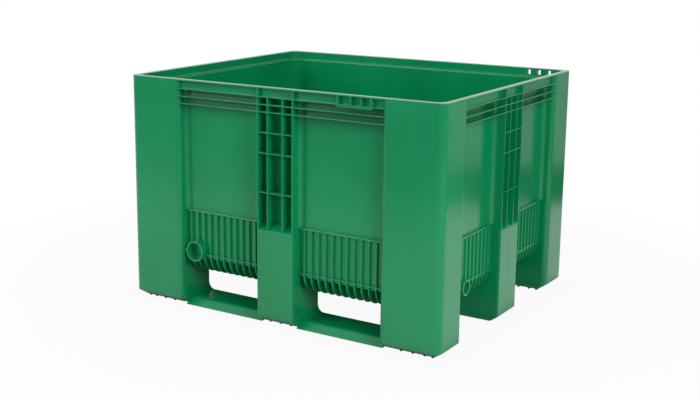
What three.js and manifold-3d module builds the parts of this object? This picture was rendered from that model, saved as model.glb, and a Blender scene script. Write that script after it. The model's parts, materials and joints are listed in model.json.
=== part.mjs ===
// Bulk pallet box: a tub, its posts, nine feet and three runners moulded as one piece.
// Millimetres, +Z up. X runs along the long sides. The origin is on the floor, under the centre.
import * as THREE from 'three';
import { mergeVertices } from 'three/addons/utils/BufferGeometryUtils.js';
import Module from 'manifold-3d';

const wasm = await Module();
wasm.setup();

// Overall size
const length = 1200;
const width = 1000;
const height = 790;

// Walls
const wall = 5;
const rib = 4;
const lap = 1;

// Tub
const tubDepth = 40;
const tubFloorTop = 183;
const tubFloor = 6;
const tubCornerRadius = 45;
const tubBottomRadius = 20;

// Rim: a flange over a band that stands further out than the tub wall, on a ledge
const rimThickness = 5;
const bandDepth = 15;
const bandCornerRadius = 30;
const bandHeight = 29;

// Corner posts
const hullRadius = 25;
const postEdgeRadius = 17;
const panelFillet = 16;

// Feet and runners
const footSkirt = 25;
const footClearance = 6;
const footChamfer = 28;
const cheek = 3;
const cheekInset = 5;
const runnerInset = 25;
const runnerHeight = 25;
const runnerBevel = 25;
const runnerRibPitch = 160;
const runnerFillet = 25;
const runnerHollowLow = 8;
const runnerHollowHigh = 3;
const footRibPitch = 41;
const footRibFirst = 38;
const footRibStep = 28;
const footRibCount = 4;

// Stiffening plates round the lower tub
const plateCurl = 60;
const plateBottom = 120;
const coarseRibBottom = 132;
const coarseRibPitch = 160;

// Rim pocket on each long side, and the windows through the back rim
const pocketLeft = 229;
const pocketDrop = 4;
const pocketRibs = [231, 278, 316, 351];
const windowWidth = 16;
const windowHeight = 20;
const windowPitch = 38.5;
const windowCount = 3;
const firstWindow = 446;

// The two kinds of side. u runs along the face, v goes inwards from it, and turns are quarter turns.
const longSide = {
  turns: [0, 2],
  reach: width / 2,
  halfSpan: length / 2,
  cornerPost: 210,
  postHalf: 70,
  footDepth: 150,
  upperRibDrops: [28, 51.5],
  gridLevels: [643, 576, 447],
  rampFoot: 320,
  rampRise: 28,
  gridRibs: [-29, 29],
  plateDepth: 26,
  plateTop: 341,
  plateWaist: 192,
  plateEnd: 135,
  plateCount: 11,
  drain: { u: -341, z: 200, outer: 36, bore: 30, mouth: 11 },
};
const shortSide = {
  turns: [1, 3],
  reach: length / 2,
  halfSpan: width / 2,
  cornerPost: 150,
  postHalf: 70,
  footDepth: 210,
  upperRibDrops: [28, 51.5],
  gridLevels: [643, 576, 447],
  rampFoot: 320,
  rampRise: 28,
  gridRibs: [-25, 25],
  plateDepth: 30,
  plateTop: 341,
  plateWaist: 192,
  plateEnd: 153,
  plateCount: 9,
  drain: { u: -287, z: 181, outer: 26, bore: 20.5, mouth: 15 },
};
const sides = [longSide, shortSide];

// Sizes that follow from the ones above
const floorUnder = tubFloorTop - tubFloor;
const ledgeTop = height - bandHeight;
const ledgeUnder = ledgeTop - wall;
const pocketBottom = ledgeUnder - pocketDrop;
const rimUnder = height - rimThickness;
const below = -wall - lap;
const above = height + wall;
for (const side of sides) {
  side.postEdge = side.halfSpan - side.cornerPost;
  side.rampTop = side.rampFoot + side.rampRise;
  side.bayWidth = side.postEdge - side.postHalf;
}

// Exact quarter turns about Z, so that faces that line up stay lined up
function quarterTurn(count) {
  const cos = [1, 0, -1, 0][count];
  const sin = [0, 1, 0, -1][count];
  return new THREE.Matrix4().set(cos, -sin, 0, 0, sin, cos, 0, 0, 0, 0, 1, 0, 0, 0, 0, 1);
}

// A closed three.js geometry as a solid that can be joined and cut
function solid(geometry) {
  const plain = geometry.clone();
  plain.deleteAttribute('normal');
  plain.deleteAttribute('uv');
  const merged = mergeVertices(plain, 1e-4);
  const vertProperties = new Float32Array(merged.attributes.position.array);
  const triVerts = new Uint32Array(merged.index.array);
  return new wasm.Manifold(new wasm.Mesh({ numProp: 3, vertProperties, triVerts }));
}

function join(pieces) {
  return pieces.reduce((whole, piece) => whole.add(piece));
}

// An outline whose corners [x, y, radius] are rounded by arcs
function roundedOutline(corners) {
  const shape = new THREE.Shape();
  corners.forEach(([x, y, radius = 0], i) => {
    const here = new THREE.Vector2(x, y);
    if (radius === 0) {
      i === 0 ? shape.moveTo(x, y) : shape.lineTo(x, y);
      return;
    }
    const [px, py] = corners[(i + corners.length - 1) % corners.length];
    const [nx, ny] = corners[(i + 1) % corners.length];
    const back = new THREE.Vector2(px, py).sub(here).normalize();
    const on = new THREE.Vector2(nx, ny).sub(here).normalize();
    const half = Math.acos(back.dot(on)) / 2;
    const start = here.clone().addScaledVector(back, radius / Math.tan(half));
    const end = here.clone().addScaledVector(on, radius / Math.tan(half));
    const middle = back.clone().add(on).normalize();
    const centre = here.clone().addScaledVector(middle, radius / Math.sin(half));
    const from = Math.atan2(start.y - centre.y, start.x - centre.x);
    const to = Math.atan2(end.y - centre.y, end.x - centre.x);
    i === 0 ? shape.moveTo(start.x, start.y) : shape.lineTo(start.x, start.y);
    shape.absarc(centre.x, centre.y, radius, from, to, back.cross(on) > 0);
  });
  shape.closePath();
  return shape;
}

function rectangle(halfX, halfY, radius) {
  return roundedOutline([
    [-halfX, -halfY, radius],
    [halfX, -halfY, radius],
    [halfX, halfY, radius],
    [-halfX, halfY, radius],
  ]);
}

// A plan outline raised from z0 to z1
function prism(shape, z0, z1, arcSteps = 2) {
  const options = { depth: z1 - z0, bevelEnabled: false, curveSegments: arcSteps };
  return new THREE.ExtrudeGeometry(shape, options).translate(0, 0, z0);
}

// A ring-shaped or full layer at one inset from the hull
function layer(inset, radius, z0, z1) {
  return solid(prism(rectangle(length / 2 - inset, width / 2 - inset, radius), z0, z1));
}

function box(x0, x1, y0, y1, z0, z1) {
  const block = new THREE.BoxGeometry(x1 - x0, y1 - y0, z1 - z0);
  return block.translate((x0 + x1) / 2, (y0 + y1) / 2, (z0 + z1) / 2);
}

// A block given along the face, inwards from it and up, for each of the two like sides
function faceBlock(side, u0, u1, v0, v1, z0, z1, turns = side.turns) {
  return turns.map((turn) => {
    const block = box(u0, u1, v0 - side.reach, v1 - side.reach, z0, z1);
    return solid(block.applyMatrix4(quarterTurn(turn)));
  });
}

// A profile [v, z] drawn across the face and run along it from u0 to u1
function faceProfile(side, shape, u0, u1, turns = side.turns, arcSteps = 1) {
  const options = { depth: u1 - u0, bevelEnabled: false, curveSegments: arcSteps };
  const upright = new THREE.Matrix4().set(0, 0, 1, u0, 1, 0, 0, -side.reach, 0, 1, 0, 0, 0, 0, 0, 1);
  return turns.map((turn) => {
    const run = new THREE.ExtrudeGeometry(shape, options).applyMatrix4(upright);
    return solid(run.applyMatrix4(quarterTurn(turn)));
  });
}

// A plan outline [u, v] raised from z0 to z1
function facePlan(side, shape, z0, z1) {
  return side.turns.map((turn) => {
    const raised = prism(shape, z0, z1, 1).translate(0, -side.reach, 0);
    return solid(raised.applyMatrix4(quarterTurn(turn)));
  });
}

// A round boss or bore whose axis goes straight into the face
function faceCylinder(side, u, z, radius, v0, v1, segments = 16) {
  return side.turns.map((turn) => {
    const round = new THREE.CylinderGeometry(radius, radius, v1 - v0, segments);
    round.translate(u, (v0 + v1) / 2 - side.reach, z);
    return solid(round.applyMatrix4(quarterTurn(turn)));
  });
}

// Tub, ledge, band and rim flange
function tub() {
  const outerTub = layer(tubDepth, tubCornerRadius + wall, floorUnder, ledgeTop);
  const ledge = layer(bandDepth, bandCornerRadius + wall, ledgeUnder, rimUnder + lap);
  const flange = layer(0, hullRadius, rimUnder, height);
  return join([outerTub, ledge, flange]);
}

function tubHollow() {
  const inset = tubDepth + wall + tubBottomRadius;
  const radius = tubCornerRadius - tubBottomRadius;
  const start = tubFloorTop + tubBottomRadius;
  const basin = new THREE.ExtrudeGeometry(rectangle(length / 2 - inset, width / 2 - inset, radius), {
    depth: above - start,
    bevelThickness: tubBottomRadius,
    bevelSize: tubBottomRadius,
    bevelSegments: 3,
    curveSegments: 2,
  });
  const mouth = layer(bandDepth + wall, bandCornerRadius, ledgeTop, above + tubBottomRadius + lap);
  return solid(basin.translate(0, 0, start)).add(mouth);
}

// The slope that takes the outer foot of a post back from the face, raised by a wall for its hollow
function footBevel(side, lift) {
  const outline = new THREE.Shape();
  outline.moveTo(-lap, below);
  outline.lineTo(-lap, footSkirt + lift);
  outline.lineTo(0, footSkirt + lift);
  outline.lineTo(footChamfer, footClearance + lift);
  outline.lineTo(footChamfer, below);
  return faceProfile(side, outline, -side.halfSpan - lap, side.halfSpan + lap);
}

function cornerOutline(signX, signY, inset) {
  const x = length / 2 - inset;
  const y = width / 2 - inset;
  const innerX = longSide.postEdge + inset;
  const innerY = shortSide.postEdge + inset;
  return roundedOutline([
    [signX * x, signY * y, hullRadius - inset],
    [signX * innerX, signY * y, postEdgeRadius - inset],
    [signX * innerX, signY * innerY, panelFillet - inset],
    [signX * x, signY * innerY, postEdgeRadius - inset],
  ]);
}

const corners = [[-1, -1], [1, -1], [1, 1], [-1, 1]];

function cornerPosts() {
  return join(corners.map(([sx, sy]) => solid(prism(cornerOutline(sx, sy, 0), footClearance, height))));
}

function cornerHollows() {
  return join(corners.map(([sx, sy]) => solid(prism(cornerOutline(sx, sy, wall), below, rimUnder))));
}

// The closed lower part of a middle post: a foot under the tub and a ramp up to its wall
function middlePost(side, inset) {
  const half = side.postHalf - inset;
  const bottom = inset > 0 ? below : footClearance;
  const top = inset > 0 ? floorUnder : floorUnder + lap;
  const ramp = new THREE.Shape();
  ramp.moveTo(inset, bottom);
  ramp.lineTo(inset, side.rampFoot - inset);
  ramp.lineTo(tubDepth, side.rampTop - inset);
  ramp.lineTo(inset > 0 ? tubDepth : tubDepth + lap, side.rampTop - inset);
  ramp.lineTo(inset > 0 ? tubDepth : tubDepth + lap, bottom);
  return [
    ...faceProfile(side, ramp, -half, half),
    ...faceBlock(side, -half, half, inset, side.footDepth - inset, bottom, top),
  ];
}

function centreFoot(inset) {
  const x = longSide.postHalf - inset;
  const y = shortSide.postHalf - inset;
  const bottom = inset > 0 ? below : footClearance;
  const top = inset > 0 ? floorUnder : floorUnder + lap;
  return solid(box(-x, x, -y, y, bottom, top));
}

// The open upper part of a middle post: two side plates and a grid of ribs
function postGrid(side) {
  const back = tubDepth + lap;
  const pieces = [];
  for (const sign of [-1, 1]) {
    const inner = sign * (side.postHalf - wall);
    const outer = sign * side.postHalf;
    const [u0, u1] = [Math.min(inner, outer), Math.max(inner, outer)];
    pieces.push(...faceBlock(side, u0, u1, 0, back, side.rampFoot - lap, rimUnder + lap));
  }
  for (const u of side.gridRibs) {
    pieces.push(...faceBlock(side, u - rib / 2, u + rib / 2, 0, back, side.rampFoot - lap, ledgeTop - lap));
  }
  const half = side.postHalf - lap;
  for (const z of side.gridLevels) {
    pieces.push(...faceBlock(side, -half, half, 0, back, z - rib / 2, z + rib / 2));
  }
  return pieces;
}

// The ledge carried out to the face, and the two ribs under it, from corner post to corner post
function upperRibs(side) {
  const end = side.postEdge + postEdgeRadius;
  const back = tubDepth + lap;
  const ledge = faceBlock(side, -end, end, 0, bandDepth + lap, ledgeUnder, ledgeUnder + rib);
  const ribs = side.upperRibDrops.flatMap((drop) => {
    const z = ledgeTop - drop;
    return faceBlock(side, -end, end, 0, back, z - rib / 2, z + rib / 2);
  });
  return [...ledge, ...ribs];
}

// Small inside fillets where the panels meet the posts
function panelFillets(side) {
  const pieces = [];
  for (const sign of [-1, 1]) {
    for (const [edge, away] of [[side.postHalf, 1], [side.postEdge, -1]]) {
      const u = sign * edge;
      const step = sign * away;
      const outline = roundedOutline([
        [u - step * lap, tubDepth - panelFillet],
        [u, tubDepth - panelFillet],
        [u, tubDepth, panelFillet],
        [u + step * panelFillet, tubDepth],
        [u + step * panelFillet, tubDepth + lap],
        [u - step * lap, tubDepth + lap],
      ]);
      pieces.push(...facePlan(side, outline, side.plateTop - lap, ledgeUnder + lap));
    }
  }
  return pieces;
}

// The plates round the lower tub: each stands out from the wall and curls under the floor
function plateOutline(side) {
  const { plateDepth, plateTop, plateWaist, plateEnd } = side;
  const drop = plateWaist - plateBottom;
  const outline = new THREE.Shape();
  outline.moveTo(tubDepth + lap, plateTop - rib);
  outline.lineTo(plateDepth, plateTop - rib);
  outline.lineTo(plateDepth, plateWaist);
  outline.absellipse(plateDepth + plateCurl, plateWaist, plateCurl, drop, Math.PI, 1.5 * Math.PI, false);
  outline.lineTo(plateEnd, plateBottom);
  outline.lineTo(plateEnd, floorUnder + lap);
  outline.lineTo(tubDepth + lap, floorUnder + lap);
  return outline;
}

function plates(side) {
  const { plateDepth, plateTop, plateWaist, plateEnd } = side;
  const outline = plateOutline(side);
  const inner = tubDepth + lap;
  const pitch = side.bayWidth / (side.plateCount + 1);
  const pieces = [];
  for (const sign of [-1, 1]) {
    for (let k = 1; k <= side.plateCount; k += 1) {
      const u = sign * (side.postHalf + k * pitch);
      pieces.push(...faceProfile(side, outline, u - rib / 2, u + rib / 2));
    }
    const near = sign * (side.postHalf - lap);
    const far = sign * (side.postEdge + lap);
    const [u0, u1] = [Math.min(near, far), Math.max(near, far)];
    pieces.push(...faceBlock(side, u0, u1, plateDepth, inner, plateTop - rib, plateTop));
    pieces.push(...faceBlock(side, u0, u1, plateDepth, inner, plateWaist - rib, plateWaist));
    pieces.push(...faceBlock(side, u0, u1, plateEnd - rib, plateEnd, plateBottom, floorUnder + lap));
  }
  return pieces;
}

// Coarser ribs under the middle of the floor, across both ways between the feet
function coarseRibs() {
  const pieces = [];
  const reachX = length / 2 - shortSide.plateEnd;
  const reachY = width / 2 - longSide.plateEnd;
  for (const sign of [-1, 1]) {
    for (let x = longSide.postHalf + coarseRibPitch; x < longSide.postEdge - rib; x += coarseRibPitch) {
      const u = sign * x;
      pieces.push(solid(box(u - rib / 2, u + rib / 2, -reachY, reachY, coarseRibBottom, floorUnder + lap)));
    }
    for (let y = shortSide.postHalf + coarseRibPitch; y < shortSide.postEdge - rib; y += coarseRibPitch) {
      const v = sign * y;
      pieces.push(solid(box(-reachX, reachX, v - rib / 2, v + rib / 2, coarseRibBottom, floorUnder + lap)));
    }
  }
  return pieces;
}

// Ribs inside the hollow feet, which reach the floor below the skirts
function footRibs() {
  const pieces = [];
  const nearY = shortSide.postEdge + wall - lap;
  const farY = width / 2 - footChamfer - wall;
  for (const [sx, sy] of corners) {
    for (let k = 0; k < footRibCount; k += 1) {
      const offset = k === 0 ? footRibFirst : footRibFirst + footRibStep + (k - 1) * footRibPitch;
      const x = sx * (length / 2 - offset);
      const [y0, y1] = [Math.min(sy * nearY, sy * farY), Math.max(sy * nearY, sy * farY)];
      pieces.push(solid(box(x - rib / 2, x + rib / 2, y0, y1, 0, floorUnder + lap)));
    }
  }
  const start = footChamfer + wall;
  const top = floorUnder + lap;
  for (const u of [-footRibPitch, 0, footRibPitch]) {
    const [u0, u1] = [u - rib / 2, u + rib / 2];
    for (const side of sides) {
      pieces.push(...faceBlock(side, u0, u1, start, side.footDepth - wall + lap, 0, top));
    }
    const half = shortSide.postHalf - wall + lap;
    pieces.push(solid(box(u0, u1, -half, half, 0, top)));
  }
  return pieces;
}

// Slightly wider sides on the feet, which end above in the same slope as the ramps
function cheeks(side) {
  const pieces = [];
  for (const sign of [-1, 1]) {
    for (const [edge, away, start] of [
      [side.postHalf, 1, cheekInset],
      [side.postEdge, -1, postEdgeRadius],
    ]) {
      const slope = side.rampRise / tubDepth;
      const outline = new THREE.Shape();
      outline.moveTo(start, footSkirt);
      outline.lineTo(start, side.rampFoot + slope * start);
      outline.lineTo(tubDepth + lap, side.rampTop);
      outline.lineTo(tubDepth + lap, floorUnder);
      outline.lineTo(side.footDepth, floorUnder);
      outline.lineTo(side.footDepth, footSkirt);
      const inner = sign * (edge - away * lap);
      const outer = sign * (edge + away * cheek);
      pieces.push(...faceProfile(side, outline, Math.min(inner, outer), Math.max(inner, outer)));
    }
  }
  return pieces;
}

// Runners along X between the feet: bevelled, hollow from below and ribbed
function runnerBar(near, far, farBevel) {
  const outline = new THREE.Shape();
  outline.moveTo(near, 0);
  outline.lineTo(near + runnerBevel, runnerHeight);
  outline.lineTo(far - farBevel, runnerHeight);
  outline.lineTo(far, 0);
  return outline;
}

function runnerHollow(near, far, farBevel) {
  const top = runnerHeight - wall;
  const outline = new THREE.Shape();
  outline.moveTo(near + runnerHollowLow, below);
  outline.lineTo(near + runnerHollowLow, 0);
  outline.lineTo(near + runnerBevel + runnerHollowHigh, top);
  outline.lineTo(far - farBevel - runnerHollowHigh, top);
  outline.lineTo(far - runnerHollowLow, 0);
  outline.lineTo(far - runnerHollowLow, below);
  return outline;
}

function runners() {
  const rows = [
    { turns: [0, 2], near: runnerInset, far: longSide.footDepth, farBevel: 0 },
    {
      turns: [0],
      near: longSide.reach - shortSide.postHalf - cheek,
      far: longSide.reach + shortSide.postHalf + cheek,
      farBevel: runnerBevel,
    },
  ];
  const solids = [];
  const hollows = [];
  const ribs = [];
  for (const { turns, near, far, farBevel } of rows) {
    for (const sign of [-1, 1]) {
      const [a, b] = [sign * (longSide.postHalf - lap), sign * (longSide.postEdge + lap)];
      const [u0, u1] = [Math.min(a, b), Math.max(a, b)];
      solids.push(...faceProfile(longSide, runnerBar(near, far, farBevel), u0, u1, turns));
      const hollow = runnerHollow(near, far, farBevel);
      hollows.push(...faceProfile(longSide, hollow, u0 + wall + lap, u1 - wall - lap, turns));
      const v0 = near + runnerBevel;
      const top = runnerHeight - lap;
      for (let u = u0 + runnerRibPitch; u < u1 - rib; u += runnerRibPitch) {
        ribs.push(...faceBlock(longSide, u - rib / 2, u + rib / 2, v0, far - wall, 0, top, turns));
      }
      for (const [foot, away] of [[u0 + lap, 1], [u1 - lap, -1]]) {
        solids.push(...runnerFillets(near, far, foot, away, turns, farBevel));
      }
    }
  }
  return { solids, hollows, ribs };
}

// A round inside corner between a foot's side and the top of a runner
function runnerFillets(near, far, foot, away, turns, farBevel) {
  const outline = roundedOutline([
    [foot - away * lap, runnerHeight - lap],
    [foot + away * (cheek + runnerFillet), runnerHeight - lap],
    [foot + away * (cheek + runnerFillet), runnerHeight],
    [foot + away * cheek, runnerHeight, runnerFillet],
    [foot + away * cheek, runnerHeight + runnerFillet],
    [foot - away * lap, runnerHeight + runnerFillet],
  ]);
  const v0 = near + runnerBevel;
  const v1 = far - farBevel;
  const across = new THREE.Matrix4().set(1, 0, 0, 0, 0, 0, -1, v1 - longSide.reach, 0, 1, 0, 0, 0, 0, 0, 1);
  const options = { depth: v1 - v0, bevelEnabled: false, curveSegments: 1 };
  return turns.map((turn) => {
    const run = new THREE.ExtrudeGeometry(outline, options).applyMatrix4(across);
    return solid(run.applyMatrix4(quarterTurn(turn)));
  });
}

// The ribbed pocket under the rim at one end of each long side
function rimPocket() {
  const right = pocketRibs[pocketRibs.length - 1] + wall;
  const back = bandDepth + lap;
  const pieces = faceBlock(longSide, pocketLeft, right, 0, back, pocketBottom - rib / 2, ledgeUnder + lap);
  for (const u of pocketRibs) {
    pieces.push(...faceBlock(longSide, u - rib / 2, u + rib / 2, 0, back, pocketBottom, rimUnder + lap));
  }
  return pieces;
}

// Three windows through the back rim, by one corner, in a thicker stretch of the band
function rimWindows() {
  const last = firstWindow + (windowCount - 1) * windowPitch;
  const top = rimUnder - lap;
  const bottom = top - windowHeight;
  const half = windowWidth / 2;
  const u0 = -last - windowWidth;
  const u1 = windowWidth - firstWindow;
  const block = faceBlock(longSide, u0, u1, wall - lap, bandDepth + lap, ledgeUnder, rimUnder + lap, [2]);
  const holes = [];
  for (let k = 0; k < windowCount; k += 1) {
    const u = -firstWindow - k * windowPitch;
    const through = bandDepth + wall + lap;
    holes.push(...faceBlock(longSide, u - half, u + half, -lap, through, bottom, top, [2]));
  }
  return { block, holes };
}

function palletBox() {
  const hollow = tubHollow();
  const bevels = join(sides.flatMap((side) => footBevel(side, 0)));
  const innerBevels = join(sides.flatMap((side) => footBevel(side, wall)));

  // Shells of the posts and feet, open below
  const middlePosts = (inset) => join(sides.flatMap((side) => middlePost(side, inset)));
  const outerPosts = join([cornerPosts(), centreFoot(0), middlePosts(0)]);
  const postHollows = join([cornerHollows(), centreFoot(wall), middlePosts(wall)]);
  const { solids: runnerBars, hollows: runnerHollows, ribs: runnerRibs } = runners();
  const posts = outerPosts.subtract(bevels).subtract(postHollows.subtract(innerBevels));

  const windows = rimWindows();
  const bars = join(runnerBars).subtract(join(runnerHollows));
  const skin = join([
    tub(),
    posts,
    bars,
    ...runnerRibs,
    ...sides.flatMap(postGrid),
    ...sides.flatMap(upperRibs),
    ...sides.flatMap(panelFillets),
    ...sides.flatMap(cheeks),
    ...rimPocket(),
    ...windows.block,
    ...footRibs(),
    ...coarseRibs(),
    ...sides.flatMap(plates),
  ]);

  // Drain bosses: blind tubes that stand out from the plates
  const tubes = sides.flatMap(({ drain }, i) =>
    faceCylinder(sides[i], drain.u, drain.z, drain.outer, drain.mouth, tubDepth + wall));
  const bores = sides.flatMap(({ drain }, i) =>
    faceCylinder(sides[i], drain.u, drain.z, drain.bore, -lap, tubDepth));

  return join([skin, ...tubes]).subtract(hollow).subtract(join([...bores, ...windows.holes]));
}

const { vertProperties, triVerts } = palletBox().getMesh();
const shape = new THREE.BufferGeometry();
shape.setAttribute('position', new THREE.BufferAttribute(vertProperties, 3));
shape.setIndex(new THREE.BufferAttribute(triVerts, 1));
shape.computeVertexNormals();

const green = new THREE.MeshStandardMaterial({ color: 0x2c8a58, roughness: 0.35, metalness: 0 });
const moulding = new THREE.Mesh(shape, green);
moulding.name = 'pallet_box';

const group = new THREE.Group();
group.add(moulding);
export default group;
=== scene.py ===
"""Models the bulk pallet box as one moulding and gives it its green plastic, its stage and its camera.

The shapes are drawn in metres, in the frame of the CAD model. Each side of the box has its own
drawing space: u runs along the face, v goes inwards from it and z is up.
"""

import json
import math
from dataclasses import dataclass

import bmesh
import bpy
from bpy.props import FloatProperty, FloatVectorProperty, IntProperty, PointerProperty
from mathutils import Matrix, Vector

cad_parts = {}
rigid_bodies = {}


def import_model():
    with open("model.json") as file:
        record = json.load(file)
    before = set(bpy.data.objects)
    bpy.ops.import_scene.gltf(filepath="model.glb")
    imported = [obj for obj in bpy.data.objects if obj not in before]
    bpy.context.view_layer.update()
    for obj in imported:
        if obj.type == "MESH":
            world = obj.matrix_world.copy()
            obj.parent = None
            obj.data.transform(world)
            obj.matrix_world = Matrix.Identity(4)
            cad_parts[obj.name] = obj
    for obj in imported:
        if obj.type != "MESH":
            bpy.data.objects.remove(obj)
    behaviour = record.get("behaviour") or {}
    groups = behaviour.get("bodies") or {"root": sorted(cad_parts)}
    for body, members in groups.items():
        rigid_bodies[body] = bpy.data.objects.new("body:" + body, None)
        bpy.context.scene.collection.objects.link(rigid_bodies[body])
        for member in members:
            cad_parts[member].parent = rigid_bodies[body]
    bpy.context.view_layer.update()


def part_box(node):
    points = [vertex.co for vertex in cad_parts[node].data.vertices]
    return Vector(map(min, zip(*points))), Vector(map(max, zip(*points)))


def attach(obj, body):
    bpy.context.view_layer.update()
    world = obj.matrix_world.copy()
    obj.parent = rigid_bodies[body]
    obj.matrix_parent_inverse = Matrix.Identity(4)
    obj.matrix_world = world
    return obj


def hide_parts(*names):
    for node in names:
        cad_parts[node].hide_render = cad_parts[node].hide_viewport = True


bl_info = {
    "name": "Bulk pallet box",
    "version": (1, 0, 0),
    "blender": (4, 5, 0),
    "location": "3D View > Sidebar > Pallet box",
    "description": "Models a moulded bulk pallet box, its plastic and its stage",
    "category": "Object",
}

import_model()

NODE = "pallet_box"
BODY = "root"
PARTS = "Pallet box parts"
LOW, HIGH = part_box(NODE)
LENGTH = HIGH.x - LOW.x
WIDTH = HIGH.y - LOW.y
HEIGHT = HIGH.z

# How far a shape reaches into the one that carries it, and how far a cut runs past the part
LAP = 0.001
BELOW = -0.01
ABOVE = HEIGHT + 0.01

# Faces that meet at more than this are softened, and shaded as separate faces
SHARP = math.radians(35)

# Faces round the tub's bottom edge, round a drain tube and round a runner's upper edge
BOTTOM_STEPS = 6
DRAIN_STEPS = 48
RUNNER_STEPS = 3

# Ribs in the feet: how far they stand from the box's sides, or from the centre of a middle foot
CORNER_RIBS = (0.038, 0.066, 0.107, 0.148)
CROSS_RIBS = (0.055, 0.095)
MIDDLE_RIBS = (-0.041, 0, 0.041)

# The cheeks' edges are rounded by this share of the ribs' rounding
CHEEK_SOFTNESS = 0.8

# The rim's pocket: its ribs as (place, half thickness), and how far its floor lies under the ledge
POCKET_RIBS = ((0.231, 0.0035), (0.278, 0.002), (0.316, 0.002), (0.351, 0.0035))
POCKET_DROP = 0.004

# The windows through the back rim
WINDOW_WIDTH = 0.016
WINDOW_HEIGHT = 0.017
WINDOW_PITCH = 0.0385
WINDOW_COUNT = 3
FIRST_WINDOW = 0.446

# Coarse ribs under the tub's floor and in the runners
COARSE_BOTTOM = 0.132
COARSE_PITCH = 0.160

# A runner's upper edge, and how much further in than its wall's thickness its hollow starts
RUNNER_ROUND = 0.006
HOLLOW_SIDE = 1.6
HOLLOW_SLOPE = 0.6

# The stage's floor and lamps
FLOOR_RADIUS = 12.0
KEY_PLACE = (3.8, -2.1, 2.3)
FILL_PLACE = (-2.3, -3.3, 2.4)
LAMP_SIZE = 2.4

# What the box mirrors, a painted reflection in the floor's glow that its colour follows: where the paper
# ends and a dimmer band standing in for a wall starts on the right, and where the front fades
PAPER_END = (1.90, 1.98)
WALL_REFLECTION_START = (2.76, 2.84)
FRONT_FADE = (1.3, 2.6)
WALL_REFLECTION_LIGHT = 0.40
DARK_LIGHT = 0.03
FRONT_LOSS = 0.74

# The floor by the box: the edge of the shade painted into its colour and its glow under the box, how dark
# that painted shade is, and how far the rendered shadow shows
SHADE_EDGE = (-0.02, 0.10)
MIRRORED_SHADE = 0.85
MATT_SHADE = 0.65
PAPER_GREY = 0.8
SHADOW_REACH = (1.0, 2.0)
SHADOW_SHARE = 0.06

WHITE = (1.0, 1.0, 1.0, 1.0)


def length(name, description, default):
    return FloatProperty(
        name=name, description=description, default=default, min=0.0, unit="LENGTH", precision=4
    )


class PalletBoxSizes(bpy.types.PropertyGroup):
    """The sizes of the moulding's walls, rim, posts, ribs and runners."""

    wall: length("Wall", "Thickness of the walls", 0.005)
    rib: length("Rib", "Thickness of the ribs", 0.004)
    soft_edge: length("Soft edge", "Rounding of the ribs' free edges", 0.0011)
    post_edge: length("Post edge", "Rounding of the posts' free edges", 0.0022)
    arc_steps: IntProperty(name="Arc steps", description="Faces round a quarter turn", default=8, min=2)

    tub_depth: length("Tub depth", "From the outer faces in to the tub's wall", 0.040)
    floor_top: length("Floor top", "Height of the tub's floor", 0.183)
    floor_wall: length("Floor wall", "Thickness of the tub's floor", 0.006)
    tub_corner: length("Tub corner", "Radius of the tub's upright corners, inside", 0.045)
    tub_bottom: length("Tub bottom", "Radius between the tub's walls and floor", 0.020)

    rim_wall: length("Rim wall", "Thickness of the rim's flange", 0.005)
    rim_edge: length("Rim edge", "Rounding of the rim's two top edges", 0.0016)
    band_depth: length("Band depth", "From the outer faces in to the band under the rim", 0.015)
    band_corner: length("Band corner", "Radius of the band's corners, inside", 0.030)
    band_height: length("Band height", "From the rim down to the ledge", 0.029)

    hull_radius: length("Hull radius", "Radius of the box's four upright corners", 0.025)
    post_radius: length("Post radius", "Radius of the corner posts' other upright edges", 0.017)
    panel_fillet: length("Panel fillet", "Radius between a panel and a post", 0.016)
    foot_skirt: length("Foot skirt", "Height of the lower edge of the posts' outer faces", 0.025)
    foot_rib: length("Foot rib", "Thickness of the ribs that the feet stand on", 0.007)
    foot_clearance: length("Foot clearance", "From the floor up to the feet's walls", 0.006)
    foot_chamfer: length("Foot chamfer", "How far the slope under a foot runs inwards", 0.028)
    cheek: length("Cheek", "How far a foot's side stands out from its post", 0.003)

    runner_inset: length("Runner inset", "From the outer faces in to the runners", 0.025)
    runner_height: length("Runner height", "Height of the runners", 0.025)
    runner_slope: length("Runner slope", "How far the runners' long sides slope inwards", 0.025)
    runner_fillet: length("Runner fillet", "Radius between a foot and a runner", 0.025)

    lower_wall: length("Lower wall", "How far the tub's wall stands out between the plates", 0.0045)
    plate_curl: length("Plate curl", "Radius at the lower edge of the stiffening plates", 0.064)
    plate_bottom: length("Plate bottom", "Height of the plates' lower edge", 0.120)


class PalletBoxFinish(bpy.types.PropertyGroup):
    """The colours and the gloss of the plastic."""

    green: FloatVectorProperty(
        name="Green", description="Colour of the plastic", subtype="COLOR", size=3,
        default=(0.003, 0.300, 0.110), min=0.0, max=1.0,
    )
    pale_green: FloatVectorProperty(
        name="Pale green", description="Colour where the plastic is rubbed", subtype="COLOR", size=3,
        default=(0.06, 0.36, 0.17), min=0.0, max=1.0,
    )
    deep_green: FloatVectorProperty(
        name="Deep green", description="Colour of the darker clouds in the plastic", subtype="COLOR", size=3,
        default=(0.0015, 0.258, 0.092), min=0.0, max=1.0,
    )
    roughness: FloatProperty(
        name="Roughness", description="Roughness of clean plastic", subtype="FACTOR",
        default=0.11, min=0.0, max=1.0,
    )


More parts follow.
